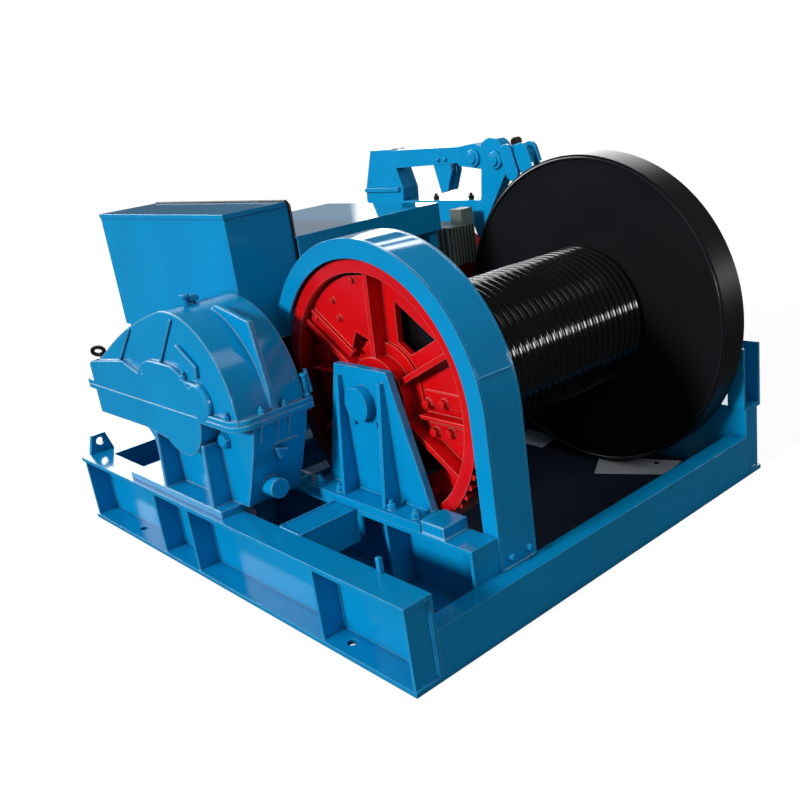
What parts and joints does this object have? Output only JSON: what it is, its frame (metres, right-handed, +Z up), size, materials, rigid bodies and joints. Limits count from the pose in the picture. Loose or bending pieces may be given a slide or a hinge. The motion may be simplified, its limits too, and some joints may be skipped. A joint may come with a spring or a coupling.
{
  "type": "anchor windlass",
  "caption": "Electric anchor windlass: grooved rope drum with a brake flange, open gear under an arched guard, side reducer, motor, drum brake and control cabinet on a welded channel base.",
  "frame": {"origin": "middle of the base, on the floor", "axes": "+X along the drum axis from the gear side to the flange side, +Y towards the motor, +Z up"},
  "size_m": [1.577, 1.823, 1.134],
  "materials": {
    "blue_paint": "gloss",
    "red_paint": "gloss",
    "black_paint": "gloss",
    "bare_steel": "brushed",
    "grey_paint": "satin"
  },
  "bodies": {
    "frame": {"bearing_beam": "blue_paint", "brake_base": "blue_paint", "brake_fork": "blue_paint", "brake_front_arm": "blue_paint", "brake_front_shoe": "blue_paint", "brake_guard": "blue_paint", "brake_rear_arm": "blue_paint", "brake_rear_shoe": "blue_paint", "brake_thruster": "grey_paint", "brake_top_bar": "blue_paint", "cabinet_legs": "blue_paint", "cabinet_lid": "blue_paint", "canopy": "blue_paint", "canopy_posts": "blue_paint", "control_cabinet": "blue_paint", "far_pedestal": "blue_paint", "far_pedestal_base": "blue_paint", "floor_plate": "blue_paint", "front_beam": "blue_paint", "front_right_post": "blue_paint", "hood_band": "blue_paint", "hood_far_ring": "blue_paint", "hood_near_ring": "blue_paint", "left_beam": "blue_paint", "left_cross_beam": "blue_paint", "left_floor_plate": "blue_paint", "lifting_lug": "blue_paint", "middle_beam": "blue_paint", "motor": "grey_paint", "motor_beam_front": "blue_paint", "motor_beam_rear": "blue_paint", "motor_terminal_box": "grey_paint", "near_pedestal": "blue_paint", "near_pedestal_base": "blue_paint", "near_pedestal_stop": "blue_paint", "rear_beam": "blue_paint", "reducer_lower": "blue_paint", "reducer_upper": "blue_paint", "right_beam": "blue_paint"},
    "drum": {"drum_barrel": "black_paint", "drum_far_flange": "black_paint", "drum_shaft": "bare_steel", "gear_rim": "red_paint", "gear_spider": "red_paint"},
    "pinion": {"pinion_shaft": "bare_steel"},
    "brake_shaft": {"motor_shaft": "bare_steel", "coupling": "grey_paint", "brake_wheel": "red_paint"}
  },
  "joints": [
    {"name": "drum_spin", "type": "hinge", "parent": "frame", "child": "drum", "pos_m": [0, -0.396, 0.546], "axis": [1, 0, 0], "continuous": true},
    {"name": "pinion_spin", "type": "hinge", "parent": "frame", "child": "pinion", "pos_m": [0, 0.09, 0.546], "axis": [1, 0, 0], "continuous": true},
    {"name": "brake_shaft_spin", "type": "hinge", "parent": "frame", "child": "brake_shaft", "pos_m": [0, 0.44, 0.546], "axis": [1, 0, 0], "continuous": true}
  ],
  "couplings": [
    {"joint": "pinion_spin", "follows": "drum_spin", "ratio": -4.0625},
    {"joint": "brake_shaft_spin", "follows": "drum_spin", "ratio": -81.25}
  ]
}
